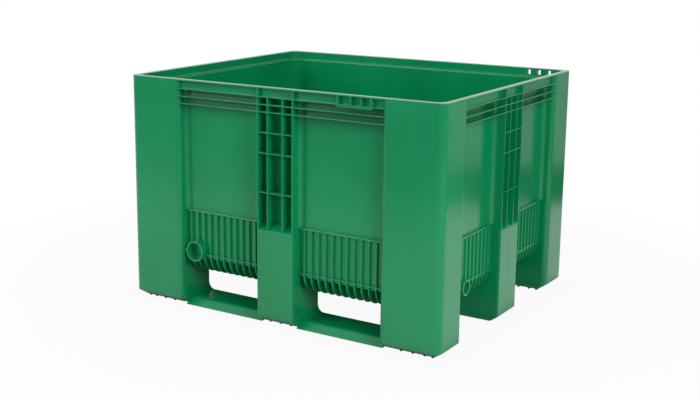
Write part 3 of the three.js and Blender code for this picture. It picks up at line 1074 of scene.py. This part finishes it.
class Graph:
    """The nodes of one material or world."""

    def __init__(self, owner):
        owner.use_nodes = True
        self.owner = owner
        self.tree = owner.node_tree
        self.tree.nodes.clear()

    def node(self, kind, settings=None, values=None, output=0):
        """Adds a node, sets its settings, then its sockets, and gives back one output."""
        node = self.tree.nodes.new(kind)
        for name, setting in (settings or {}).items():
            setattr(node, name, setting)
        for name, value in (values or {}).items():
            if isinstance(value, Value):
                self.tree.links.new(value.socket, node.inputs[name])
            else:
                node.inputs[name].default_value = value
        return Value(self, node.outputs[output])

    def noise(self, place, scale, detail=2.0, roughness=0.5):
        values = {"Vector": place, "Scale": scale, "Detail": detail, "Roughness": roughness}
        return self.node("ShaderNodeTexNoise", values=values, output="Fac")

    def ramp(self, value, low, high):
        """0 below low, 1 above high, smooth between them."""
        settings = {"interpolation_type": "SMOOTHSTEP"}
        return self.node("ShaderNodeMapRange", settings, {"Value": value, "From Min": low, "From Max": high})

    def mix(self, share, first, second):
        """Mixes two colours. The node's colour sockets are told by their numbers."""
        return self.node("ShaderNodeMix", {"data_type": "RGBA"}, {0: share, 6: first, 7: second}, output=2)

    def end(self, kind, shader):
        """Joins a shader to an output node, and gives back the material or world."""
        self.tree.links.new(shader.socket, self.tree.nodes.new(kind).inputs["Surface"])
        return self.owner


def rgba(colour):
    return (*colour, 1.0)


def green_plastic(finish):
    """Smooth moulded plastic: soft clouds of colour, faint flow lines, rub marks and a fine grain."""
    graph = Graph(bpy.data.materials.new("green_plastic"))
    place = graph.node("ShaderNodeTexCoord", output="Object")

    clouds = graph.noise(place, 2.6, 3.0)
    streaks_place = graph.node("ShaderNodeMapping", values={"Vector": place, "Scale": (9.0, 9.0, 0.9)})
    streaks = graph.noise(streaks_place, 1.0, 4.0)
    tone = graph.ramp(0.6 * clouds + 0.4 * streaks, 0.36, 0.64)
    colour = graph.mix(tone, rgba(finish.deep_green), rgba(finish.green))

    slanted = {"Vector": place, "Scale": (1.0, 1.0, 5.0), "Rotation": (0.3, 0.2, 0.5)}
    scratch_place = graph.node("ShaderNodeMapping", values=slanted)
    scratches = graph.ramp(graph.noise(scratch_place, 70.0, 6.0, 0.7), 0.66, 0.80)
    patches = graph.ramp(graph.noise(place, 5.5, 2.0), 0.50, 0.72)
    rubbed = scratches * patches
    colour = graph.mix(0.35 * rubbed, colour, rgba(finish.pale_green))

    grain = graph.noise(place, 900.0, 2.0)
    ripple = graph.noise(place, 14.0, 2.0)
    height = 0.05 * grain + 1.0 * ripple + 0.1 * rubbed
    relief = {"Strength": 0.10, "Distance": 0.004, "Height": height}
    bump = graph.node("ShaderNodeBump", values=relief, output="Normal")
    gloss = finish.roughness + 0.10 * clouds + 0.22 * rubbed + 0.04 * grain
    values = {"Base Color": colour, "Roughness": gloss, "Normal": bump, "Specular IOR Level": 0.40}
    shader = graph.node("ShaderNodeBsdfPrincipled", values=values)
    return graph.end("ShaderNodeOutputMaterial", shader)


class PALLETBOX_OT_stage(bpy.types.Operator):
    """Makes the floor, the backdrop, the lamps and the camera"""

    bl_idname = "palletbox.stage"
    bl_label = "Stage"

    def execute(self, context):
        stage = context.scene.pallet_box_stage
        self.floor()
        self.world(context, stage)
        self.lamp(context, "key_lamp", KEY_PLACE, stage.key_power)
        self.lamp(context, "fill_lamp", FILL_PLACE, stage.fill_power)
        self.camera(context, stage)
        context.scene.view_settings.view_transform = "Standard"
        return {"FINISHED"}

    def light_path(self, graph):
        """Tells camera rays, and rays that show the background in reflections and through glass."""
        camera = graph.node("ShaderNodeLightPath", output="Is Camera Ray")
        glossy = graph.node("ShaderNodeLightPath", output="Is Glossy Ray")
        through = graph.node("ShaderNodeLightPath", output="Is Transmission Ray")
        return camera, glossy.maths("MAXIMUM", glossy, through)

    def floor(self):
        shape = bmesh.new()
        bmesh.ops.create_circle(shape, cap_ends=True, segments=96, radius=FLOOR_RADIUS)
        mesh = bpy.data.meshes.new("stage_floor")
        shape.to_mesh(mesh)
        shape.free()
        floor = bpy.data.objects.new("stage_floor", mesh)
        bpy.context.scene.collection.objects.link(floor)
        mesh.materials.append(self.floor_material())

    def floor_material(self):
        """White paper round the box. Its glow in reflections is a painted reflection, and its colour follows
        it: bright round the box, ending on the right before a dimmer band that stands in for a wall, and
        fading in front.
        """
        graph = Graph(bpy.data.materials.new("pale_floor"))
        place = graph.node("ShaderNodeTexCoord", output="Object")
        away = graph.node("ShaderNodeVectorMath", {"operation": "LENGTH"}, {0: place}, output="Value")
        towards_right_back = self.along(graph, place, (math.sqrt(0.5), math.sqrt(0.5), 0.0))
        to_front = self.along(graph, place, (0.0, -1.0, 0.0))
        paper = 1 - graph.ramp(towards_right_back, *PAPER_END)
        # Painted reflection: a dimmer band of glow on the right, standing in for a wall
        wall = WALL_REFLECTION_LIGHT * graph.ramp(towards_right_back, *WALL_REFLECTION_START)
        lit = DARK_LIGHT + (1 - DARK_LIGHT) * paper.maths("MAXIMUM", paper, wall)
        painted_reflection_and_tone = lit * (1 - FRONT_LOSS * graph.ramp(to_front, *FRONT_FADE))
        over_x = self.beyond(graph, place, "X", LENGTH / 2)
        over_y = self.beyond(graph, place, "Y", WIDTH / 2)
        # Painted shade: under the box's footprint the floor's glow in reflections and its colour are darker
        shaded = 1 - graph.ramp(over_x.maths("MAXIMUM", over_x, over_y), *SHADE_EDGE)
        camera, mirrored = self.light_path(graph)
        near = 1 - graph.ramp(away, *SHADOW_REACH)
        # The floor glows white for the camera. For reflections its glow is the painted reflection, less the
        # painted shade under the box
        shown = camera * (1 - SHADOW_SHARE * near) + mirrored * painted_reflection_and_tone * (1 - MIRRORED_SHADE * shaded)
        grey = PAPER_GREY * painted_reflection_and_tone * (1 - MATT_SHADE * shaded)
        shade = graph.node("ShaderNodeCombineColor", values={0: grey, 1: grey, 2: grey})
        matt = graph.node("ShaderNodeBsdfDiffuse", values={"Color": shade})
        glow = graph.node("ShaderNodeEmission", values={"Color": WHITE, "Strength": 1.0})
        share = shown.maths("MINIMUM", shown, 1.0)
        mixed = graph.node("ShaderNodeMixShader", values={0: share, 1: matt, 2: glow})
        return graph.end("ShaderNodeOutputMaterial", mixed)

    def beyond(self, graph, place, axis, half):
        """How far a place lies outside the box along one axis."""
        number = graph.node("ShaderNodeSeparateXYZ", values={0: place}, output=axis)
        return number.maths("ABSOLUTE", number, 0.0) - half

    def along(self, graph, place, direction):
        """How far a place lies in one direction."""
        values = {0: place, 1: direction}
        return graph.node("ShaderNodeVectorMath", {"operation": "DOT_PRODUCT"}, values, output="Value")

    def world(self, context, stage):
        graph = Graph(bpy.data.worlds.new("studio"))
        camera, mirrored = self.light_path(graph)
        seen = camera.maths("MAXIMUM", camera, mirrored)
        strength = seen + (1 - seen) * stage.room_light
        sky = graph.node("ShaderNodeBackground", values={"Color": WHITE, "Strength": strength})
        context.scene.world = graph.end("ShaderNodeOutputWorld", sky)

    def lamp(self, context, name, place, power):
        light = bpy.data.lights.new(name, "AREA")
        light.shape = "DISK"
        light.size = LAMP_SIZE
        light.energy = power
        lamp = bpy.data.objects.new(name, light)
        context.scene.collection.objects.link(lamp)
        target = Vector((0, 0, HEIGHT / 2))
        lamp.location = place
        lamp.rotation_euler = (target - lamp.location).to_track_quat("-Z", "Y").to_euler()

    def camera(self, context, stage):
        """Stands the camera as the photograph's: its frame is 700 by 400 pixels."""
        frame_width = 700
        data = bpy.data.cameras.new("camera")
        data.sensor_width = 36.0
        data.lens = stage.focal_pixels * data.sensor_width / frame_width
        data.shift_x = -stage.centre_right / frame_width
        data.shift_y = stage.centre_down / frame_width
        camera = bpy.data.objects.new("camera", data)
        context.scene.collection.objects.link(camera)
        turn = Matrix.Rotation(stage.camera_turn, 4, "Z")
        dip = Matrix.Rotation(math.radians(90) - stage.camera_dip, 4, "X")
        roll = Matrix.Rotation(stage.camera_roll, 4, "Z")
        camera.matrix_world = Matrix.Translation(stage.camera_place) @ turn @ dip @ roll
        context.scene.camera = camera


class PALLETBOX_PT_panel(bpy.types.Panel):
    """Lists the steps that make the pallet box"""

    bl_idname = "PALLETBOX_PT_panel"
    bl_label = "Pallet box"
    bl_space_type = "VIEW_3D"
    bl_region_type = "UI"
    bl_category = "Pallet box"

    def draw(self, context):
        for operator in OPERATORS:
            self.layout.operator(operator.bl_idname)
        for group in ("pallet_box_sizes", "pallet_box_finish", "pallet_box_stage"):
            values = getattr(context.scene, group)
            for name in values.bl_rna.properties.keys():
                if name not in {"rna_type", "name"}:
                    self.layout.prop(values, name)


OPERATORS = (
    PALLETBOX_OT_stage,
    PALLETBOX_OT_tub,
    PALLETBOX_OT_posts,
    PALLETBOX_OT_ribs,
    PALLETBOX_OT_plates,
    PALLETBOX_OT_drains,
    PALLETBOX_OT_runners,
    PALLETBOX_OT_moulding,
)
CLASSES = (PalletBoxSizes, PalletBoxFinish, PalletBoxStage, *OPERATORS, PALLETBOX_PT_panel)


def register():
    for made in CLASSES:
        bpy.utils.register_class(made)
    bpy.types.Scene.pallet_box_sizes = PointerProperty(type=PalletBoxSizes)
    bpy.types.Scene.pallet_box_finish = PointerProperty(type=PalletBoxFinish)
    bpy.types.Scene.pallet_box_stage = PointerProperty(type=PalletBoxStage)


def unregister():
    del bpy.types.Scene.pallet_box_stage
    del bpy.types.Scene.pallet_box_finish
    del bpy.types.Scene.pallet_box_sizes
    for made in reversed(CLASSES):
        bpy.utils.unregister_class(made)


def main():
    register()
    for operator in OPERATORS:
        group, name = operator.bl_idname.split(".")
        getattr(getattr(bpy.ops, group), name)()


if __name__ == "__main__":
    main()
